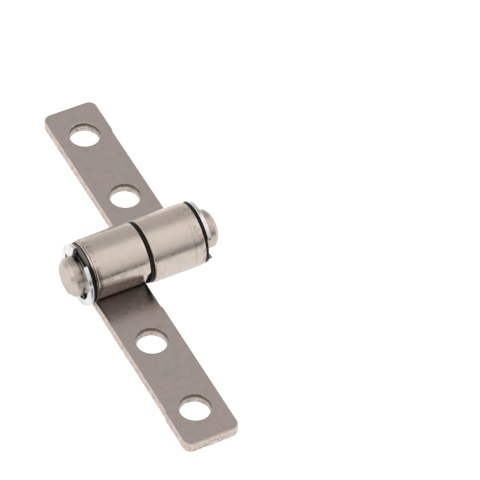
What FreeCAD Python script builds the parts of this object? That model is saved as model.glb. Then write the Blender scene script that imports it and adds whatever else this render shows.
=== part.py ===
"""Friction strap hinge: two rolled strap leaves that turn on one pin, held by two retaining rings.

X runs along the pin, Y along the straps and Z up.  The origin lies on the mounting plane, which both
straps rest on, below the middle of the pin.  The front leaf reaches towards -Y and the rear leaf towards
+Y.  The rear leaf grips the knurled part of the pin; the front leaf turns on a split friction sleeve.
"""
import FreeCAD, Part
import os

import Sketcher

SHEET_NAME = "Sizes"
FULL_TURN = 360.0
HALF_TURN = 180.0

# Driving dimensions in millimetres, and angles in degrees.
SIZES = {
    # Strap leaves: one pressed part, used twice.
    "metal_thickness": 2.0,
    "strap_length": 38.7,
    "corner_radius": 1.5,
    "edge_step": 0.2,
    "edge_step_length": 0.5,
    "inner_step_at": 9.5,
    "outer_step_at": 30.3,
    "hole_diameter": 5.3,
    "first_hole_at": 15.7,
    "hole_pitch": 16.0,
    # Rolled knuckle.
    "knuckle_diameter": 11.5,
    "knuckle_width": 9.8,
    "knuckle_gap": 0.8,
    "first_crease_angle": 152.0,
    "second_crease_angle": 168.0,
    "roll_tip_reach": 3.85,
    "roll_tip_inner_reach": 2.2,
    "seam_gap": 0.1,
    # Pin.
    "pin_diameter": 7.0,
    "pin_length": 28.0,
    "pin_chamfer": 0.75,
    "knurl_diameter": 7.48,
    "knurl_length": 8.6,
    "knurl_depth": 0.2,
    "knurl_teeth": 30,
    # Split friction sleeve.
    "sleeve_inner_diameter": 7.04,
    "sleeve_outer_diameter": 7.48,
    "sleeve_length": 9.2,
    "sleeve_slit": 1.0,
    # Washers and disc spring.
    "fit_gap": 0.05,
    "washer_diameter": 11.0,
    "washer_bore": 7.1,
    "washer_thickness": 0.5,
    "centre_washer_thickness": 0.7,
    "disc_spring_thickness": 0.28,
    "disc_spring_height": 0.42,
    # Retaining rings and their grooves.
    "ring_diameter": 11.3,
    "ring_recess_diameter": 8.7,
    "ring_seat_diameter": 5.04,
    "ring_thickness": 0.7,
    "ring_mouth": 4.1,
    "prong_end_angle": 78.0,
    "heel_start_angle": 150.0,
    "groove_diameter": 5.0,
    "groove_play": 0.02,
    "left_ring_turn": 98.0,
    "right_ring_turn": 171.0,
}

# Expressions built from the driving dimensions.
KNUCKLE_RADIUS = "(Sizes.knuckle_diameter / 2)"
BORE_RADIUS = "(Sizes.knuckle_diameter / 2 - Sizes.metal_thickness)"
KNUCKLE_CENTRE = "((Sizes.knuckle_gap + Sizes.knuckle_width) / 2)"
KNUCKLE_FACE = "(Sizes.knuckle_gap / 2 + Sizes.knuckle_width)"
RIGHT_WASHER_AT = f"({KNUCKLE_FACE} + Sizes.fit_gap)"
RIGHT_RING_AT = f"({RIGHT_WASHER_AT} + Sizes.washer_thickness + Sizes.fit_gap)"
LEFT_SPRING_AT = f"({KNUCKLE_FACE} + Sizes.fit_gap)"
LEFT_WASHER_AT = f"({LEFT_SPRING_AT} + Sizes.disc_spring_height + Sizes.fit_gap)"
LEFT_RING_AT = f"({LEFT_WASHER_AT} + Sizes.washer_thickness + Sizes.fit_gap)"


def make_sheet(doc):
    """Fill the spreadsheet with one aliased row per driving dimension."""
    sheet = doc.addObject("Spreadsheet::Sheet", SHEET_NAME)
    for row, (alias, value) in enumerate(SIZES.items(), start=1):
        sheet.set(f"A{row}", alias.replace("_", " "))
        sheet.set(f"B{row}", str(value))
        sheet.setAlias(f"B{row}", alias)
    doc.recompute()
    return sheet


def new_body(doc, label, x="0", y="0", z="0"):
    """Add a body whose place is bound to three expressions."""
    body = doc.addObject("PartDesign::Body", label)
    body.Label = label
    body.setExpression("Placement.Base.x", x)
    body.setExpression("Placement.Base.y", y)
    body.setExpression("Placement.Base.z", z)
    return body


def turn_body(body, axis, angle):
    """Turn a body about one of its own axes; the angle is a number or a sheet expression."""
    body.Placement = FreeCAD.Placement(body.Placement.Base, FreeCAD.Rotation(axis, FULL_TURN / 4))
    body.setExpression("Placement.Rotation.Angle", f"({angle}) * 1deg")


def new_sketch(body, plane_role, name):
    """Add a sketch on one of the body's own origin planes."""
    sketch = body.newObject("Sketcher::SketchObject", name)
    plane = next(item for item in body.Origin.OriginFeatures if item.Role == plane_role)
    sketch.AttachmentSupport = [(plane, "")]
    sketch.MapMode = "FlatFace"
    return sketch


def number(sketch, expression):
    """Value of an expression, as a plain number of millimetres or of nothing."""
    value = sketch.evalExpression(expression)
    return float(getattr(value, "Value", value))


def pin_point(sketch, geometry, end, x, y):
    """Hold one end of a piece of sketch geometry at two expressions measured from the sketch origin."""
    for axis_type, axis_line, expression in (("DistanceX", -2, x), ("DistanceY", -1, y)):
        if expression == "0":
            sketch.addConstraint(Sketcher.Constraint("PointOnObject", geometry, end, axis_line))
            continue
        value = number(sketch, expression)
        index = sketch.addConstraint(Sketcher.Constraint(axis_type, -1, 1, geometry, end, value))
        sketch.setExpression(f"Constraints[{index}]", expression)


def draw_outline(sketch, corners):
    """Draw a closed outline.

    Each corner is (x, y) or (x, y, centre x, centre y, radius, counterclockwise), all expressions but the
    last; the longer form says that the edge leaving that corner is an arc.
    """
    start_end = []
    for index, corner in enumerate(corners):
        following = corners[(index + 1) % len(corners)]
        first = FreeCAD.Vector(number(sketch, corner[0]), number(sketch, corner[1]), 0)
        second = FreeCAD.Vector(number(sketch, following[0]), number(sketch, following[1]), 0)
        if len(corner) == 2:
            geometry = sketch.addGeometry(Part.LineSegment(first, second))
            start_end.append((geometry, 1, 2))
            continue
        centre_x, centre_y, radius, counterclockwise = corner[2:]
        centre = FreeCAD.Vector(number(sketch, centre_x), number(sketch, centre_y), 0)
        circle = Part.Circle(centre, FreeCAD.Vector(0, 0, 1), number(sketch, radius))
        low, high = (first, second) if counterclockwise else (second, first)
        arc = Part.ArcOfCircle(circle, circle.parameter(low), circle.parameter(high))
        geometry = sketch.addGeometry(arc)
        start_end.append((geometry, 1, 2) if counterclockwise else (geometry, 2, 1))
        index = sketch.addConstraint(Sketcher.Constraint("Radius", geometry, number(sketch, radius)))
        sketch.setExpression(f"Constraints[{index}]", radius)
    for index, (geometry, start, end) in enumerate(start_end):
        next_geometry, next_start, _ = start_end[(index + 1) % len(start_end)]
        sketch.addConstraint(Sketcher.Constraint("Coincident", geometry, end, next_geometry, next_start))
        pin_point(sketch, geometry, start, corners[index][0], corners[index][1])


def draw_circle(sketch, x, y, radius):
    """Draw a circle held at two expressions, with its radius bound to a third."""
    centre = FreeCAD.Vector(number(sketch, x), number(sketch, y), 0)
    circle = Part.Circle(centre, FreeCAD.Vector(0, 0, 1), number(sketch, radius))
    geometry = sketch.addGeometry(circle)
    pin_point(sketch, geometry, 3, x, y)
    index = sketch.addConstraint(Sketcher.Constraint("Radius", geometry, number(sketch, radius)))
    sketch.setExpression(f"Constraints[{index}]", radius)


def pad(body, sketch, name, length, midplane=False):
    """Extrude a sketch, to one side or evenly to both."""
    feature = body.newObject("PartDesign::Pad", name)
    feature.Profile = sketch
    feature.Midplane = midplane
    feature.setExpression("Length", length)
    return feature


def cut_through(body, sketch, name):
    """Cut a sketch through the whole body, both ways."""
    feature = body.newObject("PartDesign::Pocket", name)
    feature.Profile = sketch
    feature.Type = "ThroughAll"
    feature.Midplane = True
    return feature


def revolve(body, sketch, name):
    """Turn a profile a full turn about the sketch's horizontal axis."""
    feature = body.newObject("PartDesign::Revolution", name)
    feature.Profile = sketch
    feature.ReferenceAxis = (sketch, ["H_Axis"])
    feature.Angle = FULL_TURN
    return feature


def on_circle(angle, radius, centre_x="0", centre_y="0"):
    """The two expressions of a point on a circle, at an angle in degrees from the first axis."""
    x = f"({centre_x} + {radius} * cos(({angle}) * 1deg))"
    y = f"({centre_y} + {radius} * sin(({angle}) * 1deg))"
    return x, y


def knuckle_section(sketch):
    """Rolled strip seen along the pin: from the strap, round the back and over the top to the seam."""
    thickness = "Sizes.metal_thickness"
    first_crease = on_circle("Sizes.first_crease_angle", KNUCKLE_RADIUS, "0", KNUCKLE_RADIUS)
    second_crease = on_circle("Sizes.second_crease_angle", KNUCKLE_RADIUS, "0", KNUCKLE_RADIUS)
    tip_height = "(Sizes.metal_thickness + Sizes.seam_gap)"
    inner_reach = "Sizes.roll_tip_inner_reach"
    inner_height = f"({KNUCKLE_RADIUS} - sqrt({BORE_RADIUS}^2 - {inner_reach}^2))"
    draw_outline(sketch, [
        (f"-{KNUCKLE_RADIUS}", "0"),
        ("0", "0", "0", KNUCKLE_RADIUS, KNUCKLE_RADIUS, True),
        first_crease,
        second_crease,
        ("-Sizes.roll_tip_reach", tip_height),
        (f"-{inner_reach}", inner_height, "0", KNUCKLE_RADIUS, BORE_RADIUS, False),
        ("0", thickness),
        (f"-{KNUCKLE_RADIUS}", thickness),
    ])


def strap_outline(sketch):
    """Strap seen from above, with the small steps that its two shearing strokes leave in its edges."""
    half_knuckle = "Sizes.knuckle_width / 2"
    step = "Sizes.edge_step"
    slope = "Sizes.edge_step_length"
    corner = "Sizes.corner_radius"
    end = "Sizes.strap_length"
    wide = f"({half_knuckle} + {step})"
    bend = f"-({end} - {corner})"
    corner_middle = f"({wide} - {corner})"
    tucked = "(-Sizes.knuckle_diameter / 4)"
    draw_outline(sketch, [
        (half_knuckle, tucked),
        (f"-{half_knuckle}", tucked),
        (f"-{half_knuckle}", "-Sizes.outer_step_at"),
        (f"-{wide}", f"-(Sizes.outer_step_at + {slope})"),
        (f"-{wide}", bend, f"-{corner_middle}", bend, corner, True),
        (f"-{corner_middle}", f"-{end}"),
        (corner_middle, f"-{end}", corner_middle, bend, corner, True),
        (wide, bend),
        (wide, f"-(Sizes.inner_step_at + {slope})"),
        (half_knuckle, "-Sizes.inner_step_at"),
    ])


def make_leaf(doc, label, x, turn):
    """One leaf: a rolled knuckle and its strap with two screw holes."""
    body = new_body(doc, label, x=x)
    turn_body(body, FreeCAD.Vector(0, 0, 1), turn)
    section = new_sketch(body, "YZ_Plane", label + "_section")
    knuckle_section(section)
    pad(body, section, label + "_knuckle", "Sizes.knuckle_width", midplane=True)
    outline = new_sketch(body, "XY_Plane", label + "_outline")
    strap_outline(outline)
    pad(body, outline, label + "_strap", "Sizes.metal_thickness")
    holes = new_sketch(body, "XY_Plane", label + "_holes")
    for reach in ("Sizes.first_hole_at", "(Sizes.first_hole_at + Sizes.hole_pitch)"):
        draw_circle(holes, "0", f"-{reach}", "Sizes.hole_diameter / 2")
    cut_through(body, holes, label + "_screw_holes")
    return body


def pin_profile(sketch):
    """Half of the pin's long section: chamfered ends, ring grooves, and the raised part to be knurled."""
    end = "Sizes.pin_length / 2"
    chamfer = "Sizes.pin_chamfer"
    radius = "Sizes.pin_diameter / 2"
    knurl = "Sizes.knurl_diameter / 2"
    groove = "Sizes.groove_diameter / 2"
    play = "Sizes.groove_play"
    thick = "Sizes.ring_thickness"
    knurl_left = f"({KNUCKLE_CENTRE} - Sizes.knurl_length / 2)"
    knurl_right = f"({KNUCKLE_CENTRE} + Sizes.knurl_length / 2)"
    draw_outline(sketch, [
        (f"-{end}", "0"),
        (f"{end}", "0"),
        (f"{end}", f"({radius} - {chamfer})"),
        (f"({end} - {chamfer})", radius),
        (f"({RIGHT_RING_AT} + {thick} + {play})", radius),
        (f"({RIGHT_RING_AT} + {thick} + {play})", groove),
        (f"({RIGHT_RING_AT} - {play})", groove),
        (f"({RIGHT_RING_AT} - {play})", radius),
        (knurl_right, radius),
        (knurl_right, knurl),
        (knurl_left, knurl),
        (knurl_left, radius),
        (f"-({LEFT_RING_AT} - {play})", radius),
        (f"-({LEFT_RING_AT} - {play})", groove),
        (f"-({LEFT_RING_AT} + {thick} + {play})", groove),
        (f"-({LEFT_RING_AT} + {thick} + {play})", radius),
        (f"-({end} - {chamfer})", radius),
        (f"-{end}", f"({radius} - {chamfer})"),
    ])


def make_pin(doc):
    """Stepped pin with a straight knurl where the rear leaf grips it."""
    body = new_body(doc, "hinge_pin", z=KNUCKLE_RADIUS)
    profile = new_sketch(body, "XY_Plane", "pin_profile")
    pin_profile(profile)
    revolve(body, profile, "pin_turned")
    notch = new_sketch(body, "YZ_Plane", "knurl_notch")
    rim = "Sizes.knurl_diameter / 2"
    depth = "Sizes.knurl_depth"
    draw_outline(notch, [
        (f"({rim} - {depth})", "0"),
        (f"({rim} + {depth})", f"-{depth}"),
        (f"({rim} + {depth})", depth),
    ])
    doc.recompute()
    cut = cut_through(body, notch, "knurl_cut")
    pattern = body.newObject("PartDesign::PolarPattern", "knurl")
    pattern.Originals = [cut]
    pattern.Axis = (notch, ["N_Axis"])
    pattern.Angle = FULL_TURN
    pattern.setExpression("Occurrences", "Sizes.knurl_teeth")
    body.Tip = pattern
    return body


def make_sleeve(doc):
    """Split spring sleeve that lines the front knuckle and drags on the pin."""
    body = new_body(doc, "friction_sleeve", x=f"-{KNUCKLE_CENTRE}", z=KNUCKLE_RADIUS)
    section = new_sketch(body, "YZ_Plane", "sleeve_section")
    draw_circle(section, "0", "0", "Sizes.sleeve_outer_diameter / 2")
    draw_circle(section, "0", "0", "Sizes.sleeve_inner_diameter / 2")
    pad(body, section, "sleeve_wall", "Sizes.sleeve_length", midplane=True)
    slit = new_sketch(body, "YZ_Plane", "sleeve_slit")
    half_slit = "Sizes.sleeve_slit / 2"
    draw_outline(slit, [
        (f"-{half_slit}", "0"),
        (f"-{half_slit}", "-Sizes.sleeve_outer_diameter"),
        (half_slit, "-Sizes.sleeve_outer_diameter"),
        (half_slit, "0"),
    ])
    cut_through(body, slit, "sleeve_split")
    return body


def make_washer(doc, label, x, thickness):
    """Flat friction washer whose near face is at x."""
    body = new_body(doc, label, x=x, z=KNUCKLE_RADIUS)
    profile = new_sketch(body, "XY_Plane", label + "_profile")
    inner = "Sizes.washer_bore / 2"
    outer = "Sizes.washer_diameter / 2"
    draw_outline(profile, [("0", inner), (thickness, inner), (thickness, outer), ("0", outer)])
    revolve(body, profile, label + "_disc")
    return body


def make_disc_spring(doc):
    """Slightly coned spring washer that loads the left end of the stack; its rim bears on the knuckle."""
    body = new_body(doc, "left_disc_spring", x=f"-{LEFT_WASHER_AT} + Sizes.fit_gap", z=KNUCKLE_RADIUS)
    profile = new_sketch(body, "XY_Plane", "disc_spring_profile")
    inner = "Sizes.washer_bore / 2"
    outer = "Sizes.washer_diameter / 2"
    thick = "Sizes.disc_spring_thickness"
    rise = f"(Sizes.disc_spring_height - {thick})"
    draw_outline(profile, [
        ("0", inner),
        (thick, inner),
        (f"({rise} + {thick})", outer),
        (rise, outer),
    ])
    revolve(body, profile, "disc_spring_cone")
    return body


def ring_outline(sketch):
    """Retaining ring with its mouth towards the first axis, two prongs and a heel on the groove."""
    outer = "Sizes.ring_diameter / 2"
    recess = "Sizes.ring_recess_diameter / 2"
    seat = "Sizes.ring_seat_diameter / 2"
    mouth = "Sizes.ring_mouth / 2"
    prong = "Sizes.prong_end_angle"
    heel = "Sizes.heel_start_angle"
    mouth_outer = f"sqrt(({outer})^2 - ({mouth})^2)"
    mouth_inner = f"sqrt(({seat})^2 - ({mouth})^2)"
    origin = ("0", "0")
    draw_outline(sketch, [
        (mouth_outer, mouth, *origin, outer, True),
        (mouth_outer, f"-{mouth}"),
        (mouth_inner, f"-{mouth}", *origin, seat, False),
        on_circle(f"-{prong}", f"({seat})"),
        (*on_circle(f"-{prong}", f"({recess})"), *origin, recess, False),
        on_circle(f"-{heel}", f"({recess})"),
        (*on_circle(f"-{heel}", f"({seat})"), *origin, seat, False),
        on_circle(heel, f"({seat})"),
        (*on_circle(heel, f"({recess})"), *origin, recess, False),
        on_circle(prong, f"({recess})"),
        (*on_circle(prong, f"({seat})"), *origin, seat, False),
        (mouth_inner, mouth),
    ])


def make_ring(doc, label, x, turn):
    """Retaining ring whose near face is at x, turned about the pin so that its mouth shows."""
    body = new_body(doc, label, x=x, z=KNUCKLE_RADIUS)
    turn_body(body, FreeCAD.Vector(1, 0, 0), turn)
    outline = new_sketch(body, "YZ_Plane", label + "_outline")
    ring_outline(outline)
    pad(body, outline, label + "_plate", "Sizes.ring_thickness")
    return body


def check_document(doc, bodies):
    """Stop if any feature failed or any sub-part is not one good solid."""
    for item in doc.Objects:
        if "Invalid" in item.State or "Error" in item.State:
            raise RuntimeError(f"{item.Label}: {item.State}")
    for body in bodies:
        shape = body.Shape
        if shape.isNull() or not shape.isValid() or len(shape.Solids) != 1:
            raise RuntimeError(f"{body.Label}: not one valid solid")


def main():
    doc = FreeCAD.newDocument("StrapHinge")
    make_sheet(doc)
    bodies = [
        make_leaf(doc, "front_leaf", f"-{KNUCKLE_CENTRE}", 0),
        make_leaf(doc, "rear_leaf", KNUCKLE_CENTRE, HALF_TURN),
        make_pin(doc),
        make_sleeve(doc),
        make_washer(doc, "centre_washer", "-Sizes.centre_washer_thickness / 2",
                    "Sizes.centre_washer_thickness"),
        make_washer(doc, "right_end_washer", RIGHT_WASHER_AT, "Sizes.washer_thickness"),
        make_washer(doc, "left_end_washer", f"-({LEFT_WASHER_AT} + Sizes.washer_thickness)",
                    "Sizes.washer_thickness"),
        make_disc_spring(doc),
        make_ring(doc, "right_retaining_ring", RIGHT_RING_AT, "Sizes.right_ring_turn"),
        make_ring(doc, "left_retaining_ring", f"-({LEFT_RING_AT} + Sizes.ring_thickness)",
                  "Sizes.left_ring_turn"),
    ]
    doc.recompute()
    check_document(doc, bodies)
    os.makedirs("parts", exist_ok=True)
    for body in bodies:
        body.Shape.exportStep(f"parts/{body.Label}.step")
        box = body.Shape.BoundBox
        print(f"{body.Label}: volume {body.Shape.Volume:.2f}, "
              f"x {box.XMin:.2f}..{box.XMax:.2f}, y {box.YMin:.2f}..{box.YMax:.2f}, "
              f"z {box.ZMin:.2f}..{box.ZMax:.2f}")


main()
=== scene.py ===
import math

import bpy
from mathutils import Matrix, Vector, noise
from mathutils.geometry import delaunay_2d_cdt


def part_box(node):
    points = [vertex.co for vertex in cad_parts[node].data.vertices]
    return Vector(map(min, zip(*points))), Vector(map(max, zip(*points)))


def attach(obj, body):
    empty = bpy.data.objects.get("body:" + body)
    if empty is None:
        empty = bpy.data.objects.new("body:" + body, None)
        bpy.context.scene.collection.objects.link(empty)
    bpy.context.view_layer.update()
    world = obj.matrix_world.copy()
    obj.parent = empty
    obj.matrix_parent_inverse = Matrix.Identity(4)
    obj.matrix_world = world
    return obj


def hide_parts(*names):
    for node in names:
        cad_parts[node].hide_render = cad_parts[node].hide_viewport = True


# Friction strap hinge in satin nickel.  X runs along the pin, Y along the straps and Z up.  Shapes are
# worked out in millimetres, and angles round the pin run from +Y towards +Z, in degrees.
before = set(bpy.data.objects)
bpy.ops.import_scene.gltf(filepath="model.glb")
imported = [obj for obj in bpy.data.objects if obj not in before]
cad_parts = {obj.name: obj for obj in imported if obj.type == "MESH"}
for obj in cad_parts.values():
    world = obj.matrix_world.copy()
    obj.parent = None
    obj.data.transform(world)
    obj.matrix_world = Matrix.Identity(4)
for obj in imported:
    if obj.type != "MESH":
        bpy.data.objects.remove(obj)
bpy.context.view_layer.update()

MM = 0.001


# ---- Sizes of the real pieces --------------------------------------------------------------------

def box_mm(node):
    """Lowest and highest corners of a CAD node in millimetres."""
    low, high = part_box(node)
    return low / MM, high / MM


LEAF_LOW, LEAF_HIGH = box_mm("front_leaf")
KNUCKLE_RADIUS = LEAF_HIGH.z / 2
PIN_HEIGHT = KNUCKLE_RADIUS
METAL = 2.0
BORE_RADIUS = KNUCKLE_RADIUS - METAL
STRAP_LENGTH = -LEAF_LOW.y
HALF_WIDE = (LEAF_HIGH.x - LEAF_LOW.x) / 2
EDGE_STEP = 0.2
HALF_KNUCKLE = HALF_WIDE - EDGE_STEP
EDGE_STEP_LENGTH = 0.5
INNER_STEP_AT = 9.5
OUTER_STEP_AT = 30.3
CORNER_RADIUS = 1.5
HOLE_RADIUS = 2.65
HOLES_AT = (15.7, 31.7)
FIRST_CREASE = 152.0
SECOND_CREASE = 167.0
SECOND_CREASE_SLANT = 3.5
ROLL_TIP = Vector((-3.85, 2.1))
ROLL_TIP_INNER_ANGLE = 234.1

PIN_RADIUS = 3.5
PIN_FACE_RADIUS = 2.75
GROOVE_RADIUS = 2.5
GROOVE_PLAY = 0.02
KNURL_RADIUS = 3.74
KNURL_DEPTH = 0.2
KNURL_TEETH = 30
KNURL_LENGTH = 8.6

RING_UNDERSIZE = 0.2
RING_SEAT_RADIUS = 2.52
RING_RECESS_RADIUS = 4.35
RING_HALF_MOUTH = 2.05
PRONG_END = 78.0
HEEL_START = 150.0
LEFT_RING_TURN = 98.0
RIGHT_RING_TURN = 171.0
WASHER_BORE_RADIUS = 3.55
DISC_SPRING_THICKNESS = 0.28
WASHER_SECTORS = 192


# ---- Mesh helpers --------------------------------------------------------------------------------

def polar(radius, degrees, centre=(0.0, 0.0)):
    """Point on a circle."""
    angle = math.radians(degrees)
    return Vector((centre[0] + radius * math.cos(angle), centre[1] + radius * math.sin(angle)))


def line_points(start, end, spacing):
    """Points from start up to, but without, end."""
    start, end = Vector(start), Vector(end)
    count = max(1, round((end - start).length / spacing))
    return [start.lerp(end, i / count) for i in range(count)]


def arc_points(centre, radius, first, last, spacing):
    """Points along an arc, without its last one."""
    length = math.radians(abs(last - first)) * radius
    count = max(3, math.ceil(length / spacing))
    return [polar(radius, first + (last - first) * i / count, centre) for i in range(count)]


def inset_loop(loop, distance):
    """Loop moved to its own left by a distance, with mitred corners."""
    moved = []
    for index, point in enumerate(loop):
        before = (point - loop[index - 1]).normalized()
        after = (loop[(index + 1) % len(loop)] - point).normalized()
        left_before = Vector((-before.y, before.x))
        left_after = Vector((-after.y, after.x))
        mitre = left_before + left_after
        moved.append(point + mitre * (2 * distance / mitre.length_squared))
    return moved


def inside(point, loop):
    """True if the point lies within the loop."""
    crossings = 0
    for index, a in enumerate(loop):
        b = loop[index - 1]
        if (a.y > point.y) != (b.y > point.y):
            if point.x < a.x + (point.y - a.y) * (b.x - a.x) / (b.y - a.y):
                crossings += 1
    return crossings % 2 == 1


def near_loop(point, loop, distance):
    """True if the point is closer than the distance to any of the loop's own points."""
    return any((point - other).length_squared < distance * distance for other in loop)


def lattice(loops, spacing):
    """Evenly spaced points inside the first loop, outside the others and clear of them all."""
    low_x = min(p.x for p in loops[0])
    high_x = max(p.x for p in loops[0])
    low_y = min(p.y for p in loops[0])
    high_y = max(p.y for p in loops[0])
    columns = max(2, round((high_x - low_x) / spacing))
    rows = max(2, round((high_y - low_y) / spacing))
    buckets = {}
    for point in (p for loop in loops for p in loop):
        buckets.setdefault((round(point.x / spacing), round(point.y / spacing)), []).append(point)
    found = []
    for row in range(1, rows):
        for column in range(1, columns):
            point = Vector((
                low_x + (high_x - low_x) * column / columns,
                low_y + (high_y - low_y) * row / rows,
            ))
            cell = (round(point.x / spacing), round(point.y / spacing))
            around = [
                p
                for dx in (-1, 0, 1)
                for dy in (-1, 0, 1)
                for p in buckets.get((cell[0] + dx, cell[1] + dy), [])
            ]
            if near_loop(point, around, 0.6 * spacing):
                continue
            if inside(point, loops[0]) and not any(inside(point, hole) for hole in loops[1:]):
                found.append(point)
    return found


def fill_loops(loops, spacing):
    """Triangulate the area between loops: the points, and triangles that turn counterclockwise."""
    points = [p for loop in loops for p in loop]
    edges = []
    start = 0
    for loop in loops:
        edges += [(start + i, start + (i + 1) % len(loop)) for i in range(len(loop))]
        start += len(loop)
    points += lattice(loops, spacing)
    keep_all, tolerance = 0, 1e-7
    made, _, faces, origins, _, _ = delaunay_2d_cdt(points, edges, [], keep_all, tolerance)
    back = [ids[0] for ids in origins]
    kept = []
    for face in faces:
        middle = sum((made[i] for i in face), Vector((0.0, 0.0))) / len(face)
        if inside(middle, loops[0]) and not any(inside(middle, hole) for hole in loops[1:]):
            kept.append([back[i] for i in face])
    return points, kept


ROUNDING_STEPS = 5


def sheared_foot(low_round, fracture_at, fracture_step):
    """Lower part of a stamped wall, as (inset, height) pairs: its rounded lower edge, then the small step
    that marks where the shear stopped and the metal broke."""
    wall = []
    for i in range(ROUNDING_STEPS + 1):
        angle = math.radians(90.0 * i / ROUNDING_STEPS)
        wall.append((low_round * (1 - math.sin(angle)), low_round * (1 - math.cos(angle))))
    wall.append((0.0, fracture_at - fracture_step))
    wall.append((fracture_step, fracture_at))
    return wall


def stamped_edge(thickness, low_round, high_inset, high_depth, fracture_at, fracture_step):
    """Wall of a stamped plate from its lower to its upper face; the top rolls over deeper than it is wide."""
    wall = sheared_foot(low_round, fracture_at, fracture_step)
    for i in range(ROUNDING_STEPS + 1):
        angle = math.radians(90.0 * i / ROUNDING_STEPS)
        inset = max(high_inset * (1 - math.cos(angle)), fracture_step if i == 0 else 0.0)
        wall.append((inset, thickness - high_depth * (1 - math.sin(angle))))
    return wall


def finish_mesh(name, vertices, faces, materials, sharp_degrees=40.0):
    """Object from vertices in millimetres and faces given as (corners, material index)."""
    mesh = bpy.data.meshes.new(name)
    mesh.from_pydata([v * MM for v in vertices], [], [corners for corners, _ in faces])
    mesh.polygons.foreach_set("material_index", [index for _, index in faces])
    for material in materials:
        mesh.materials.append(material)
    mesh.shade_smooth()
    mesh.set_sharp_from_angle(angle=math.radians(sharp_degrees))
    mesh.validate()
    obj = bpy.data.objects.new(name, mesh)
    bpy.context.scene.collection.objects.link(obj)
    weighted = obj.modifiers.new("even_shading", "WEIGHTED_NORMAL")
    weighted.keep_sharp = True
    return obj


def punched_rim(thickness, low_round, roll_inset, roll_depth, fracture_at, fracture_step):
    """Wall of a punched hole: like a stamped edge, but its upper rim is drawn in to a steep bevel."""
    softening = 0.02
    # The bevel's own points lie at shares of the roll's depth below the upper face.
    return [
        *sheared_foot(low_round, fracture_at, fracture_step),
        (fracture_step, fracture_at + fracture_step),
        (0.0, fracture_at + 3 * fracture_step),
        (0.0, thickness - roll_depth),
        (softening, thickness - 0.8 * roll_depth),
        (roll_inset - 2 * softening, thickness - 0.15 * roll_depth),
        (roll_inset - softening, thickness - 0.04 * roll_depth),
        (roll_inset, thickness),
    ]


def plate(name, loops, walls, spacing, place, materials):
    """Stamped plate: an outline, its holes, and for each loop the wall between its two faces.

    The outline runs counterclockwise and the holes clockwise.  place turns (x, y, height) of the flat
    plate into its final point.  Faces take the first material, the outline's wall the second and the
    walls of the holes the last.
    """
    vertices = []
    faces = []
    face_loops = {}
    for end, row in (("low", 0), ("high", -1)):
        height = walls[0][row][1]
        face_loops[end] = [inset_loop(loop, wall[row][0]) for loop, wall in zip(loops, walls)]
        points, triangles = fill_loops(face_loops[end], spacing)
        start = len(vertices)
        face_loops[end + "_start"] = start
        vertices += [place(p.x, p.y, height) for p in points]
        for triangle in triangles:
            corners = [start + i for i in triangle]
            faces.append((corners if end == "high" else corners[::-1], 0))
    offset = 0
    for loop, wall in zip(loops, walls):
        count = len(loop)
        wall_material = 1 if offset == 0 else len(materials) - 1
        previous = [face_loops["low_start"] + offset + i for i in range(count)]
        for step, (inset, height) in enumerate(wall[1:], start=1):
            if step == len(wall) - 1:
                current = [face_loops["high_start"] + offset + i for i in range(count)]
            else:
                current = [len(vertices) + i for i in range(count)]
                vertices += [place(p.x, p.y, height) for p in inset_loop(loop, inset)]
            for i in range(count):
                j = (i + 1) % count
                faces.append(([previous[i], previous[j], current[j], current[i]], wall_material))
            previous = current
        offset += count
    return finish_mesh(name, vertices, faces, materials)


def round_corners(points, radii, steps=5):
    """Open outline whose inner corners are rounded, each by its own radius."""
    rounded = [Vector(points[0])]
    for index in range(1, len(points) - 1):
        corner, radius = Vector(points[index]), radii[index - 1]
        back = (Vector(points[index - 1]) - corner).normalized()
        on = (Vector(points[index + 1]) - corner).normalized()
        half_turn = back.angle(on) / 2
        if radius == 0 or half_turn > math.radians(89.9):
            rounded.append(corner)
            continue
        reach = radius / math.tan(half_turn)
        centre = corner + (back + on).normalized() * (radius / math.sin(half_turn))
        first = (corner + back * reach) - centre
        last = (corner + on * reach) - centre
        for i in range(steps + 1):
            spoke = first.lerp(last, i / steps)
            rounded.append(centre + spoke.normalized() * radius)
    rounded.append(Vector(points[-1]))
    return rounded


def lathe(name, profile, sectors, closed, materials, radius_at=None):
    """Solid turned about the pin's axis.

    The profile is a list of (x, radius).  A closed profile makes a ring; an open one starts and ends on
    the axis.  radius_at, if given, changes the radius by (radius, sector).
    """
    on_axis = 1e-6
    vertices = []
    faces = []
    rows = []
    for x, radius in profile:
        if radius < on_axis:
            rows.append([len(vertices)])
            vertices.append(Vector((x, 0.0, PIN_HEIGHT)))
            continue
        rows.append(list(range(len(vertices), len(vertices) + sectors)))
        for sector in range(sectors):
            reach = radius_at(radius, sector) if radius_at else radius
            point = polar(reach, 360.0 * sector / sectors)
            vertices.append(Vector((x, point.x, PIN_HEIGHT + point.y)))
    pairs = list(zip(rows, rows[1:]))
    if closed:
        pairs.append((rows[-1], rows[0]))
    for first, second in pairs:
        for i in range(sectors):
            j = (i + 1) % sectors
            if len(first) == 1:
                faces.append(([first[0], second[j], second[i]], 0))
            elif len(second) == 1:
                faces.append(([first[i], first[j], second[0]], 0))
            else:
                faces.append(([first[i], first[j], second[j], second[i]], 0))
    return finish_mesh(name, vertices, faces, materials)


# ---- Leaves --------------------------------------------------------------------------------------

def roll_stations():
    """Lengths along the blank, past the bend line, of the two creases and of the rolled tip."""
    first = math.radians(FIRST_CREASE + 90.0) * KNUCKLE_RADIUS
    second = first + math.radians(SECOND_CREASE - FIRST_CREASE) * KNUCKLE_RADIUS
    crease = polar(KNUCKLE_RADIUS, SECOND_CREASE, (0.0, KNUCKLE_RADIUS))
    return first, second, second + (ROLL_TIP - crease).length


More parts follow.
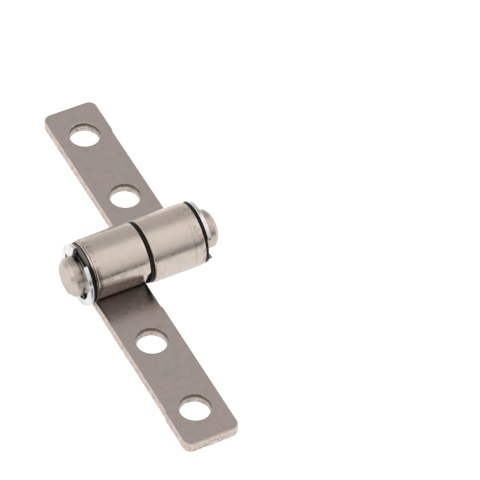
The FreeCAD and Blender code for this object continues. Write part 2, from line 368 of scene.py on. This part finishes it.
FIRST_CREASE_AT, SECOND_CREASE_AT, ROLL_LENGTH = roll_stations()
CREASE_ROUNDING = 0.45
CROWN_REACH = 0.9
CROWN_DROP = 0.1


def outer_face(x, length):
    """Point (y, z) of the roll's outer face at a length past the bend line."""
    middle = (0.0, KNUCKLE_RADIUS)
    slant = SECOND_CREASE_SLANT * x / HALF_KNUCKLE
    first = polar(KNUCKLE_RADIUS, FIRST_CREASE, middle)
    second = polar(KNUCKLE_RADIUS, SECOND_CREASE + slant, middle)

    def along(s):
        if s <= FIRST_CREASE_AT:
            return polar(KNUCKLE_RADIUS, math.degrees(s / KNUCKLE_RADIUS) - 90.0, middle)
        if s <= SECOND_CREASE_AT:
            return first.lerp(second, (s - FIRST_CREASE_AT) / (SECOND_CREASE_AT - FIRST_CREASE_AT))
        return second.lerp(ROLL_TIP, (s - SECOND_CREASE_AT) / (ROLL_LENGTH - SECOND_CREASE_AT))

    off = length - SECOND_CREASE_AT
    if abs(off) >= CREASE_ROUNDING:
        return along(length)
    share = (off / CREASE_ROUNDING + 1) / 2
    before = along(SECOND_CREASE_AT - CREASE_ROUNDING)
    after = along(SECOND_CREASE_AT + CREASE_ROUNDING)
    return before.lerp(second, share).lerp(second.lerp(after, share), share)


def inner_face(length):
    """Point (y, z) of the roll's inner face, on the bore, across from the outer one."""
    angle = math.degrees(length / KNUCKLE_RADIUS) - 90.0
    if length > FIRST_CREASE_AT:
        share = (length - FIRST_CREASE_AT) / (ROLL_LENGTH - FIRST_CREASE_AT)
        angle = FIRST_CREASE + (ROLL_TIP_INNER_ANGLE - FIRST_CREASE) * share
    return polar(BORE_RADIUS, angle, (0.0, KNUCKLE_RADIUS))


def blank_outline(spacing):
    """Flat blank before rolling: free end at the bottom, rolled tip at the top."""
    corner_y = -STRAP_LENGTH + CORNER_RADIUS
    corner_x = HALF_WIDE - CORNER_RADIUS
    corner_spacing = 0.2
    loop = []
    left = [
        (-HALF_KNUCKLE, ROLL_LENGTH),
        (-HALF_KNUCKLE, -OUTER_STEP_AT),
        (-HALF_WIDE, -OUTER_STEP_AT - EDGE_STEP_LENGTH),
        (-HALF_WIDE, corner_y),
    ]
    for start, end in zip(left, left[1:]):
        loop += line_points(start, end, spacing)
    loop += arc_points((-corner_x, corner_y), CORNER_RADIUS, 180.0, 270.0, corner_spacing)
    loop += line_points((-corner_x, -STRAP_LENGTH), (corner_x, -STRAP_LENGTH), spacing)
    loop += arc_points((corner_x, corner_y), CORNER_RADIUS, 270.0, 360.0, corner_spacing)
    right = [
        (HALF_WIDE, corner_y),
        (HALF_WIDE, -INNER_STEP_AT - EDGE_STEP_LENGTH),
        (HALF_KNUCKLE, -INNER_STEP_AT),
        (HALF_KNUCKLE, ROLL_LENGTH),
        (-HALF_KNUCKLE, ROLL_LENGTH),
    ]
    for start, end in zip(right, right[1:]):
        loop += line_points(start, end, spacing)
    return loop


def make_leaf(name, centre_x, turned, seed, materials):
    """One leaf: a blank with two holes, rolled into its knuckle; turned leaves reach towards +Y."""
    spacing = 0.34
    hole_spacing = 0.25
    waviness = 0.012
    waves_across, waves_along = 0.22, 0.17
    facing = -1.0 if turned else 1.0
    loops = [blank_outline(spacing)]
    for reach in HOLES_AT:
        loops.append(arc_points((0.0, -reach), HOLE_RADIUS, 360.0, 0.0, hole_spacing))

    def place(x, along, height):
        unevenness = noise.noise(Vector((x * waves_across, along * waves_along, seed)))
        wave = waviness * (0.5 + 0.5 * unevenness)
        height += wave if height < METAL / 2 else -wave
        from_rim = HALF_KNUCKLE - abs(x)
        if along > 0 and from_rim < CROWN_REACH:
            drop = CROWN_DROP * (1 - from_rim / CROWN_REACH) ** 2 * (1 - height / METAL)
            height += drop
        share = height / METAL
        if along <= 0:
            point = Vector((along, height))
        else:
            point = outer_face(x, along).lerp(inner_face(along), share)
        return Vector((centre_x + facing * x, facing * point.x, point.y))

    edge = stamped_edge(
        METAL, low_round=0.16, high_inset=0.15, high_depth=0.35, fracture_at=1.25, fracture_step=0.03,
    )
    rim = punched_rim(
        METAL, low_round=0.16, roll_inset=0.2, roll_depth=0.42, fracture_at=0.7, fracture_step=0.03,
    )
    return plate(name, loops, [edge, rim, rim], spacing, place, materials)


# ---- Pin, rings and washers ----------------------------------------------------------------------

def make_pin(materials):
    """Stepped pin: softened ends, two ring grooves and a straight knurl."""
    low, high = box_mm("hinge_pin")
    left_ring_low, left_ring_high = box_mm("left_retaining_ring")
    right_ring_low, right_ring_high = box_mm("right_retaining_ring")
    chamfer = PIN_RADIUS - PIN_FACE_RADIUS
    knurl_middle = (box_mm("rear_leaf")[0].x + box_mm("rear_leaf")[1].x) / 2
    knurl_left = knurl_middle - KNURL_LENGTH / 2
    knurl_right = knurl_middle + KNURL_LENGTH / 2
    bite = 0.05
    corners = [
        (low.x, 0.0, 0.0),
        (low.x, PIN_FACE_RADIUS, 0.12),
        (low.x + chamfer, PIN_RADIUS, 0.2),
        (left_ring_low.x - GROOVE_PLAY, PIN_RADIUS, bite),
        (left_ring_low.x - GROOVE_PLAY, GROOVE_RADIUS, bite),
        (left_ring_high.x + GROOVE_PLAY, GROOVE_RADIUS, bite),
        (left_ring_high.x + GROOVE_PLAY, PIN_RADIUS, bite),
        (knurl_left, PIN_RADIUS, bite),
        (knurl_left, KNURL_RADIUS, bite),
        (knurl_right, KNURL_RADIUS, bite),
        (knurl_right, PIN_RADIUS, bite),
        (right_ring_low.x - GROOVE_PLAY, PIN_RADIUS, bite),
        (right_ring_low.x - GROOVE_PLAY, GROOVE_RADIUS, bite),
        (right_ring_high.x + GROOVE_PLAY, GROOVE_RADIUS, bite),
        (right_ring_high.x + GROOVE_PLAY, PIN_RADIUS, bite),
        (high.x - chamfer, PIN_RADIUS, 0.2),
        (high.x, PIN_FACE_RADIUS, 0.12),
        (high.x, 0.0, 0.0),
    ]
    points = [(x, radius) for x, radius, _ in corners]
    profile = round_corners(points, [rounding for _, _, rounding in corners[1:-1]])
    sectors_per_tooth = 8

    def knurled(radius, sector):
        at_notch = sector % sectors_per_tooth == 0
        return radius - KNURL_DEPTH if at_notch and radius > KNURL_RADIUS - bite / 2 else radius

    return lathe("turned_pin", profile, KNURL_TEETH * sectors_per_tooth, False, materials, knurled)


def ring_outline(spacing):
    """Retaining ring with its mouth towards the first axis, two prongs and a heel."""
    outer = (LEAF_HIGH.z - RING_UNDERSIZE) / 2
    mouth_outer = math.degrees(math.asin(RING_HALF_MOUTH / outer))
    mouth_inner = math.degrees(math.asin(RING_HALF_MOUTH / RING_SEAT_RADIUS))
    seat, recess, middle = RING_SEAT_RADIUS, RING_RECESS_RADIUS, (0.0, 0.0)
    loop = arc_points(middle, outer, mouth_outer, 360.0 - mouth_outer, spacing)
    loop += line_points(polar(outer, -mouth_outer), polar(seat, -mouth_inner), spacing)
    loop += arc_points(middle, seat, -mouth_inner, -PRONG_END, spacing)
    loop += line_points(polar(seat, -PRONG_END), polar(recess, -PRONG_END), spacing)
    loop += arc_points(middle, recess, -PRONG_END, -HEEL_START, spacing)
    loop += line_points(polar(recess, -HEEL_START), polar(seat, -HEEL_START), spacing)
    loop += arc_points(middle, seat, -HEEL_START, HEEL_START - 360.0, spacing)
    loop += line_points(polar(seat, HEEL_START), polar(recess, HEEL_START), spacing)
    loop += arc_points(middle, recess, HEEL_START, PRONG_END, spacing)
    loop += line_points(polar(recess, PRONG_END), polar(seat, PRONG_END), spacing)
    loop += arc_points(middle, seat, PRONG_END, mouth_inner, spacing)
    loop += line_points(polar(seat, mouth_inner), polar(outer, mouth_outer), spacing)
    return loop


def make_ring(name, node, turn, materials):
    """Stamped retaining ring in the place of its CAD node."""
    low, high = box_mm(node)
    angle = math.radians(turn)

    def place(a, b, height):
        y = a * math.cos(angle) - b * math.sin(angle)
        z = a * math.sin(angle) + b * math.cos(angle)
        return Vector((low.x + height, y, PIN_HEIGHT + z))

    thickness = high.x - low.x
    wall = stamped_edge(
        thickness, low_round=0.1, high_inset=0.08, high_depth=0.08, fracture_at=0.45, fracture_step=0.015,
    )
    return plate(name, [ring_outline(0.2)], [wall], 0.25, place, materials)


def make_washer(name, node, materials):
    """Flat washer with softened edges."""
    low, high = box_mm(node)
    outer = (high.z - low.z) / 2
    corners = [(low.x, WASHER_BORE_RADIUS), (low.x, outer), (high.x, outer), (high.x, WASHER_BORE_RADIUS)]
    softening = 0.1
    return lathe(name, soft_ring(corners, softening), WASHER_SECTORS, True, materials)


def soft_ring(corners, radius):
    """Closed profile with every corner rounded."""
    middle = Vector(corners[0]).lerp(Vector(corners[-1]), 0.5)
    return round_corners([middle, *corners, middle], [radius] * len(corners))[:-1]


def make_disc_spring(name, node, materials):
    """Coned spring washer; its rim bears on the knuckle."""
    low, high = box_mm(node)
    outer = (high.z - low.z) / 2
    corners = [
        (low.x, WASHER_BORE_RADIUS),
        (high.x - DISC_SPRING_THICKNESS, outer),
        (high.x, outer),
        (low.x + DISC_SPRING_THICKNESS, WASHER_BORE_RADIUS),
    ]
    softening = 0.06
    return lathe(name, soft_ring(corners, softening), WASHER_SECTORS, True, materials)


# ---- Materials -----------------------------------------------------------------------------------

def add_node(tree, kind, inputs=None, **settings):
    """Add a shader node; inputs are set by name or number."""
    node = tree.nodes.new(kind)
    for key, value in settings.items():
        setattr(node, key, value)
    for key, value in (inputs or {}).items():
        node.inputs[key].default_value = value
    return node


def new_material(name):
    """Material with an empty Principled shader, its tree and its object coordinates."""
    material = bpy.data.materials.new(name)
    material.use_nodes = True
    tree = material.node_tree
    shader = tree.nodes["Principled BSDF"]
    coordinates = add_node(tree, "ShaderNodeTexCoord")
    return material, tree, shader, coordinates.outputs["Object"]


def stretched(tree, vector, scale):
    """Coordinates scaled by axis, in features per metre."""
    mapping = add_node(tree, "ShaderNodeMapping", {"Scale": scale})
    tree.links.new(vector, mapping.inputs["Vector"])
    return mapping.outputs["Vector"]


def noise_field(tree, vector, scale, detail=3.0, roughness=0.5):
    """Noise value from 0 to 1."""
    field = add_node(tree, "ShaderNodeTexNoise", {"Scale": scale, "Detail": detail, "Roughness": roughness})
    tree.links.new(vector, field.inputs["Vector"])
    return field.outputs["Fac"]


def spread(tree, value, low, high, to_low, to_high):
    """Map a value from one range to another, smoothly and held at the ends."""
    ranged = add_node(tree, "ShaderNodeMapRange", {
        "From Min": low, "From Max": high, "To Min": to_low, "To Max": to_high,
    }, interpolation_type="SMOOTHSTEP")
    tree.links.new(value, ranged.inputs["Value"])
    return ranged.outputs["Result"]


def over_length(tree, place, low, high, to_low, to_high):
    """Map a position to a mask; its range is in millimetres."""
    return spread(tree, place, low * MM, high * MM, to_low, to_high)


def axes(tree, place):
    """X, Y and Z of the coordinates as sockets."""
    parts = add_node(tree, "ShaderNodeSeparateXYZ")
    tree.links.new(place, parts.inputs["Vector"])
    return parts.outputs["X"], parts.outputs["Y"], parts.outputs["Z"]


def math_node(tree, operation, first, second):
    """Arithmetic on two values, each a socket or a number."""
    node = add_node(tree, "ShaderNodeMath", operation=operation)
    for socket, value in zip(node.inputs, (first, second)):
        if isinstance(value, (int, float)):
            socket.default_value = value
        else:
            tree.links.new(value, socket)
    return node.outputs["Value"]


def all_of(tree, first, *others):
    """Product of masks: full only where every one of them is."""
    product = first
    for mask in others:
        product = math_node(tree, "MULTIPLY", product, mask)
    return product


def blend_colours(tree, share, first, second):
    """Mix two colours, each a socket or a tuple."""
    mix = add_node(tree, "ShaderNodeMix", data_type="RGBA")
    tree.links.new(share, mix.inputs["Factor"])
    for socket, value in ((mix.inputs[6], first), (mix.inputs[7], second)):
        if isinstance(value, tuple):
            socket.default_value = (*value, 1.0)
        else:
            tree.links.new(value, socket)
    return mix.outputs[2]


def add_bumps(tree, shader, layers):
    """Stack bump layers, each (height socket, depth in metres, strength), onto the shader."""
    normal = None
    for height, depth, strength in layers:
        bump = add_node(tree, "ShaderNodeBump", {"Strength": strength, "Distance": depth})
        tree.links.new(height, bump.inputs["Height"])
        if normal is not None:
            tree.links.new(normal, bump.inputs["Normal"])
        normal = bump.outputs["Normal"]
    tree.links.new(normal, shader.inputs["Normal"])


def plate_colour(tree, place, rolled):
    """Mottled, stained nickel, with painted shade: the strap is painted darker than the roll for how the
    light falls on each.
    """
    mottle = spread(tree, noise_field(tree, place, 300.0, 4.0, 0.6), 0.38, 0.62, 0.0, 1.0)
    stain = spread(tree, noise_field(tree, place, 620.0, 4.0, 0.6), 0.54, 0.76, 0.0, 0.7)
    # Painted shade: the strap's colours are darker than the roll's, standing in for how the light falls on
    # each.
    on_strap = blend_colours(tree, mottle, (0.440, 0.378, 0.368), (0.418, 0.388, 0.350))
    on_roll = blend_colours(tree, mottle, (0.512, 0.444, 0.406), (0.496, 0.450, 0.400))
    clean = blend_colours(tree, rolled, on_strap, on_roll)
    dulled = blend_colours(tree, rolled, (0.365, 0.312, 0.290), (0.430, 0.370, 0.342))
    return blend_colours(tree, stain, clean, dulled)


def rim_marks(tree, place, x, rolled):
    """Mask of the dark nicks near the outer rims of both knuckles."""
    near_rim = over_length(tree, math_node(tree, "ABSOLUTE", x, 0.0), 8.4, 10.0, 0.0, 1.0)
    spots = spread(tree, noise_field(tree, place, 1300.0, 3.0, 0.6), 0.48, 0.60, 0.0, 0.55)
    return all_of(tree, near_rim, spots, rolled)


def painted_seam_shade(tree, y, z, seam_side):
    """Mask of the painted shade on the strap's upper face where it runs under the roll."""
    near_seam = over_length(tree, math_node(tree, "ABSOLUTE", y, 0.0), 4.4, 11.0, 0.88, 0.0)
    below_roll = over_length(tree, z, 2.03, 2.2, 1.0, 0.0)
    above_underside = over_length(tree, z, 1.4, 1.8, 0.0, 1.0)
    return all_of(tree, near_seam, below_roll, above_underside, seam_side)


def painted_facet_light(tree, z, rolled, seam_side):
    """Mask of the painted light on the lower facet that the last bend left above the seam."""
    return all_of(tree, over_length(tree, z, 3.4, 7.4, 0.95, 0.0), rolled, seam_side)


def left_rim_painted_shade(tree, x, z, rolled):
    """Mask of the painted shade beside the disc spring, below the top of the left knuckle."""
    beside_spring = over_length(tree, x, -9.9, -9.2, 0.88, 0.0)
    below_top = over_length(tree, z, 9.8, 10.6, 1.0, 0.0)
    return all_of(tree, beside_spring, below_top, rolled)


def tool_marks(tree, place, x, rolled):
    """Mask of the fine tool lines round the outer part of the right knuckle."""
    lines = noise_field(tree, stretched(tree, place, (3200.0, 55.0, 55.0)), 1.0, 2.0)
    tooled = over_length(tree, x, 6.6, 7.8, 0.0, 1.0)
    return all_of(tree, spread(tree, lines, 0.50, 0.62, 0.0, 0.5), tooled, rolled)


def satin_nickel():
    """Tumbled nickel plate over strip steel: mottled and pitted, with the straps painted darker than the
    roll, painted shade at the seam and beside the left rim, and painted light on the facet above the seam.
    """
    material, tree, shader, place = new_material("satin_nickel")
    shader.inputs["Metallic"].default_value = 1.0
    x, y, z = axes(tree, place)
    rolled = over_length(tree, z, 2.1, 3.4, 0.0, 1.0)
    # Both leaves have their seam where x and y share a sign.
    seam_side = spread(tree, math_node(tree, "MULTIPLY", x, y), 0.0, 2.0 * MM * MM, 0.0, 1.0)
    lines = tool_marks(tree, place, x, rolled)
    colour = plate_colour(tree, place, rolled)
    for mask, mark_colour in (
        (rim_marks(tree, place, x, rolled), (0.150, 0.125, 0.115)),
        # Painted shade: the strap is darkened where it runs under the roll.
        (painted_seam_shade(tree, y, z, seam_side), (0.110, 0.090, 0.082)),
        # Painted light: the lower facet above the seam is lightened.
        (painted_facet_light(tree, z, rolled, seam_side), (0.860, 0.760, 0.700)),
        # Painted shade: the left knuckle is darkened beside the disc spring, below its top.
        (left_rim_painted_shade(tree, x, z, rolled), (0.130, 0.106, 0.095)),
        (lines, (0.250, 0.215, 0.195)),
    ):
        colour = blend_colours(tree, mask, colour, mark_colour)
    tree.links.new(colour, shader.inputs["Base Color"])
    scuffs = noise_field(tree, stretched(tree, place, (1500.0, 420.0, 420.0)), 1.0, 4.0)
    scuffs = spread(tree, scuffs, 0.5, 0.75, 0.0, 1.0)
    roughness = spread(tree, noise_field(tree, place, 900.0, 4.0), 0.3, 0.7, 0.23, 0.34)
    roughness = math_node(tree, "ADD", roughness, math_node(tree, "MULTIPLY", scuffs, 0.08))
    tree.links.new(roughness, shader.inputs["Roughness"])
    hoops = noise_field(tree, stretched(tree, place, (4200.0, 150.0, 150.0)), 1.0, 4.0, 0.65)
    pits = spread(tree, noise_field(tree, place, 1500.0, 2.0), 0.66, 0.78, 1.0, 0.0)
    add_bumps(tree, shader, [
        (hoops, 0.009 * MM, 0.55),
        (lines, 0.012 * MM, 0.5),
        (scuffs, 0.010 * MM, 0.3),
        (pits, 0.020 * MM, 0.4),
        (noise_field(tree, place, 5200.0, 3.0), 0.004 * MM, 0.4),
    ])
    return material


def sheared_edge():
    """Cut edge of the strip, plated over its shear marks."""
    material, tree, shader, place = new_material("sheared_edge")
    shader.inputs["Metallic"].default_value = 1.0
    _, _, z = axes(tree, place)
    patches = spread(tree, noise_field(tree, place, 900.0, 3.0), 0.4, 0.65, 0.0, 1.0)
    colour = blend_colours(tree, patches, (0.54, 0.475, 0.43), (0.45, 0.385, 0.35))
    torn = over_length(tree, z, 1.1, 1.4, 1.0, 0.0)
    specks = spread(tree, noise_field(tree, place, 1900.0, 3.0, 0.6), 0.51, 0.63, 0.0, 0.6)
    tears = math_node(tree, "MULTIPLY", torn, specks)
    colour = blend_colours(tree, tears, colour, (0.20, 0.165, 0.15))
    tree.links.new(colour, shader.inputs["Base Color"])
    roughness = spread(tree, noise_field(tree, place, 2200.0, 3.0), 0.3, 0.7, 0.26, 0.44)
    tree.links.new(roughness, shader.inputs["Roughness"])
    marks = noise_field(tree, stretched(tree, place, (4200.0, 4200.0, 500.0)), 1.0, 2.0)
    add_bumps(tree, shader, [(marks, 0.012 * MM, 0.5), (tears, 0.030 * MM, 0.5)])
    return material


def punched_bore():
    """Bore of a screw hole: painted shade in a band just under the drawn-in rim, plated shear marks lower
    down.
    """
    material, tree, shader, place = new_material("punched_bore")
    shader.inputs["Metallic"].default_value = 1.0
    _, _, z = axes(tree, place)
    patches = spread(tree, noise_field(tree, place, 900.0, 3.0), 0.4, 0.65, 0.0, 1.0)
    colour = blend_colours(tree, patches, (0.50, 0.44, 0.40), (0.38, 0.325, 0.295))
    # Painted shade: a dark band on the bore wall just under the rim.
    above_shear = over_length(tree, z, 1.05, 1.40, 0.0, 0.85)
    below_rim = over_length(tree, z, 1.72, 1.90, 1.0, 0.0)
    painted_rim_shade = math_node(tree, "MULTIPLY", above_shear, below_rim)
    colour = blend_colours(tree, painted_rim_shade, colour, (0.120, 0.098, 0.088))
    specks = spread(tree, noise_field(tree, place, 1900.0, 3.0, 0.6), 0.54, 0.64, 0.0, 0.7)
    colour = blend_colours(tree, specks, colour, (0.20, 0.165, 0.15))
    tree.links.new(colour, shader.inputs["Base Color"])
    roughness = spread(tree, noise_field(tree, place, 2200.0, 3.0), 0.3, 0.7, 0.26, 0.44)
    tree.links.new(roughness, shader.inputs["Roughness"])
    marks = noise_field(tree, stretched(tree, place, (4200.0, 4200.0, 500.0)), 1.0, 2.0)
    add_bumps(tree, shader, [(marks, 0.012 * MM, 0.5), (specks, 0.020 * MM, 0.4)])
    return material


def turned_steel():
    """Pin steel, turned and plated: fine tool marks round the axis."""
    material, tree, shader, place = new_material("turned_steel")
    shader.inputs["Metallic"].default_value = 1.0
    patches = spread(tree, noise_field(tree, place, 420.0, 4.0), 0.35, 0.68, 0.0, 1.0)
    colour = blend_colours(tree, patches, (0.475, 0.420, 0.380), (0.40, 0.345, 0.310))
    tree.links.new(colour, shader.inputs["Base Color"])
    roughness = spread(tree, noise_field(tree, place, 1500.0, 3.0), 0.3, 0.7, 0.28, 0.38)
    tree.links.new(roughness, shader.inputs["Roughness"])
    hoops = noise_field(tree, stretched(tree, place, (6000.0, 350.0, 350.0)), 1.0, 3.0)
    add_bumps(tree, shader, [(hoops, 0.005 * MM, 0.4)])
    return material


def bright_zinc():
    """Zinc plate on the retaining rings: bright and slightly cold."""
    material, tree, shader, place = new_material("bright_zinc")
    shader.inputs["Metallic"].default_value = 1.0
    patches = spread(tree, noise_field(tree, place, 700.0, 3.0), 0.38, 0.62, 0.0, 1.0)
    colour = blend_colours(tree, patches, (0.66, 0.66, 0.67), (0.55, 0.55, 0.57))
    tree.links.new(colour, shader.inputs["Base Color"])
    roughness = spread(tree, noise_field(tree, place, 1800.0, 3.0), 0.3, 0.7, 0.16, 0.28)
    tree.links.new(roughness, shader.inputs["Roughness"])
    add_bumps(tree, shader, [(noise_field(tree, place, 3500.0, 3.0), 0.005 * MM, 0.4)])
    return material


def rubbed_finish(name, dark, pale, low_roughness, high_roughness, metallic, gloss=0.5, painted_top_light=None):
    """Plain finish with faint rubbed patches; the last argument, if given, is a height in mm and the colour
    painted above it as a painted highlight.
    """
    material, tree, shader, place = new_material(name)
    shader.inputs["Metallic"].default_value = metallic
    shader.inputs["Specular IOR Level"].default_value = gloss
    patches = spread(tree, noise_field(tree, place, 800.0, 4.0), 0.45, 0.75, 0.0, 1.0)
    colour = blend_colours(tree, patches, dark, pale)
    if painted_top_light is not None:
        light_above, light_colour = painted_top_light
        _, _, z = axes(tree, place)
        # Painted highlight: the top, above the given height, takes the lighter colour that the overhead light
        # would give.
        painted_top_sheen = over_length(tree, z, light_above - 0.4, light_above + 0.4, 0.0, 0.85)
        colour = blend_colours(tree, painted_top_sheen, colour, light_colour)
    tree.links.new(colour, shader.inputs["Base Color"])
    roughness = spread(tree, noise_field(tree, place, 1800.0, 3.0), 0.3, 0.7, low_roughness, high_roughness)
    tree.links.new(roughness, shader.inputs["Roughness"])
    add_bumps(tree, shader, [(noise_field(tree, place, 6000.0, 2.0), 0.008 * MM, 0.4)])
    return material


def spring_strip():
    """Spring steel of the friction sleeve and the disc spring, dulled by grease, with a painted highlight on
    top.
    """
    # Painted highlight: above 10.3 mm the spring steel is painted light.
    painted_top_highlight = (10.3, (0.74, 0.71, 0.68))
    greased, wiped = (0.17, 0.145, 0.13), (0.26, 0.23, 0.21)
    return rubbed_finish("spring_strip", greased, wiped, 0.18, 0.30, 1.0, painted_top_light=painted_top_highlight)


# ---- Stage ---------------------------------------------------------------------------------------

CAMERA_AZIMUTH = -30.63
CAMERA_ELEVATION = 48.85
CAMERA_ROLL = 3.93
CAMERA_DISTANCE = 678.6
CAMERA_AIM = (19.59, -0.60, 0.0)
CAMERA_LENS = 292.1


def make_camera():
    """Long lens from the front left, looking down on the hinge."""
    azimuth, elevation = math.radians(CAMERA_AZIMUTH), math.radians(CAMERA_ELEVATION)
    back = Vector((
        math.sin(azimuth) * math.cos(elevation),
        -math.cos(azimuth) * math.cos(elevation),
        math.sin(elevation),
    ))
    level_up = (Vector((0.0, 0.0, 1.0)) - back * back.z).normalized()
    level_right = level_up.cross(back)
    roll = math.radians(CAMERA_ROLL)
    up = level_up * math.cos(roll) - level_right * math.sin(roll)
    right = up.cross(back)
    data = bpy.data.cameras.new("camera")
    data.lens = CAMERA_LENS
    data.sensor_width = 36.0
    data.clip_start = 0.01
    data.clip_end = 20.0
    camera = bpy.data.objects.new("camera", data)
    bpy.context.scene.collection.objects.link(camera)
    turn = Matrix((right, up, back)).transposed()
    position = (Vector(CAMERA_AIM) + back * CAMERA_DISTANCE) * MM
    camera.matrix_world = Matrix.Translation(position) @ turn.to_4x4()
    bpy.context.scene.camera = camera


# Studio walls and ceiling by angle round the pin: 0 is the back horizon, 90 straight up and 180 the
# horizon behind the camera.
STUDIO_LIGHT = (
    (0.0, 0.95),
    (25.0, 0.80),
    (66.0, 0.72),
    (80.0, 1.32),
    (112.0, 1.32),
    (152.0, 1.04),
    (165.0, 0.50),
    (171.0, 0.02),
    (180.0, 0.02),
)
STUDIO_TINT = (1.0, 0.965, 0.945)


def make_world():
    """Soft studio: a bright strip overhead, grey walls and a dark strip behind the camera."""
    world = bpy.data.worlds.new("studio")
    bpy.context.scene.world = world
    world.use_nodes = True
    tree = world.node_tree
    background = tree.nodes["Background"]
    direction = add_node(tree, "ShaderNodeTexCoord")
    parts = add_node(tree, "ShaderNodeSeparateXYZ")
    tree.links.new(direction.outputs["Generated"], parts.inputs["Vector"])
    angle = math_node(tree, "ARCTAN2", parts.outputs["Z"], parts.outputs["Y"])
    share = math_node(tree, "DIVIDE", angle, math.pi)
    ramp = add_node(tree, "ShaderNodeValToRGB")
    tree.links.new(share, ramp.inputs["Fac"])
    stops = ramp.color_ramp.elements
    while len(stops) > 1:
        stops.remove(stops[-1])
    for index, (degrees, level) in enumerate(STUDIO_LIGHT):
        stop = stops[0] if index == 0 else stops.new(degrees / 180.0)
        stop.position = degrees / 180.0
        stop.color = (*(level * tint for tint in STUDIO_TINT), 1.0)
    tree.links.new(ramp.outputs["Color"], background.inputs["Color"])


def add_softbox(name, place, aim, width, height, watts):
    """Rectangular area light that points at a spot; places in millimetres."""
    data = bpy.data.lights.new(name, "AREA")
    data.shape = "RECTANGLE"
    data.size = width * MM
    data.size_y = height * MM
    data.energy = watts
    light = bpy.data.objects.new(name, data)
    bpy.context.scene.collection.objects.link(light)
    light.location = Vector(place) * MM
    light.rotation_euler = (Vector(aim) - Vector(place)).to_track_quat("-Z", "Y").to_euler()


def make_stage():
    """Pale backlit floor under the hinge, and two soft side lights."""
    mesh = bpy.data.meshes.new("floor")
    half = 3.0
    corners = [(-half, -half, 0), (half, -half, 0), (half, half, 0), (-half, half, 0)]
    mesh.from_pydata(corners, [], [(0, 1, 2, 3)])
    floor = bpy.data.objects.new("floor", mesh)
    bpy.context.scene.collection.objects.link(floor)
    material, tree, shader, place = new_material("pale_floor")
    shader.inputs["Roughness"].default_value = 0.9
    shader.inputs["Specular IOR Level"].default_value = 0.1
    shade = spread(tree, noise_field(tree, place, 3.0, 2.0), 0.3, 0.7, 0.0, 1.0)
    grey = blend_colours(tree, shade, (0.36, 0.36, 0.36), (0.39, 0.39, 0.39))
    tree.links.new(grey, shader.inputs["Base Color"])
    shader.inputs["Emission Color"].default_value = (1.0, 1.0, 1.0, 1.0)
    shader.inputs["Emission Strength"].default_value = 0.92
    mesh.materials.append(material)
    just_below = 0.02 * MM
    floor.location.z = -just_below
    side, watts = 900, 1.5
    add_softbox("left_softbox", (-900, 150, 520), (0, 0, 0), side, side, watts)
    add_softbox("right_softbox", (950, -100, 480), (0, 0, 0), side, side, watts)


# ---- The hinge -----------------------------------------------------------------------------------

def fit(piece, body, node):
    """Let a piece stand for its CAD node and move with the body."""
    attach(piece, body)
    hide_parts(node)


def make_hinge():
    """Every visible piece, in the place of its CAD node."""
    leaf_materials = [satin_nickel(), sheared_edge(), punched_bore()]
    deep, faded = (0.004, 0.0035, 0.0035), (0.014, 0.011, 0.011)
    black = rubbed_finish("black_washer", deep, faded, 0.50, 0.65, 0.0, 0.15)
    # Painted reflection: above 10.6 mm the left washer is painted grey, for the overhead light it would
    # reflect.
    painted_top_reflection = (10.6, (0.150, 0.142, 0.136))
    black_painted_top = rubbed_finish("black_washer_painted_top", deep, faded, 0.50, 0.65, 0.0, 0.15, painted_top_reflection)
    spring_steel = spring_strip()
    zinc = bright_zinc()
    front_x = (LEAF_LOW.x + LEAF_HIGH.x) / 2
    front_leaf = make_leaf("rolled_front_leaf", front_x, turned=False, seed=3.1, materials=leaf_materials)
    fit(front_leaf, "turning_half", "front_leaf")
    rear_leaf = make_leaf("rolled_rear_leaf", -front_x, turned=True, seed=8.7, materials=leaf_materials)
    fit(rear_leaf, "fixed_half", "rear_leaf")
    fit(make_pin([turned_steel()]), "fixed_half", "hinge_pin")
    left_ring = make_ring("left_snap_ring", "left_retaining_ring", LEFT_RING_TURN, [zinc, zinc])
    fit(left_ring, "fixed_half", "left_retaining_ring")
    right_ring = make_ring("right_snap_ring", "right_retaining_ring", RIGHT_RING_TURN, [zinc, zinc])
    fit(right_ring, "fixed_half", "right_retaining_ring")
    for piece, node, material in (
        ("centre_friction_washer", "centre_washer", black),
        ("right_thrust_washer", "right_end_washer", black),
        ("left_thrust_washer", "left_end_washer", black_painted_top),
    ):
        fit(make_washer(piece, node, [material]), "fixed_half", node)
    spring = make_disc_spring("left_cone_spring", "left_disc_spring", [spring_steel])
    fit(spring, "fixed_half", "left_disc_spring")
    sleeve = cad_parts["friction_sleeve"]
    sleeve.data.materials.clear()
    sleeve.data.materials.append(spring_steel)


make_camera()
make_world()
make_stage()
make_hinge()
bpy.context.scene.view_settings.view_transform = "Standard"
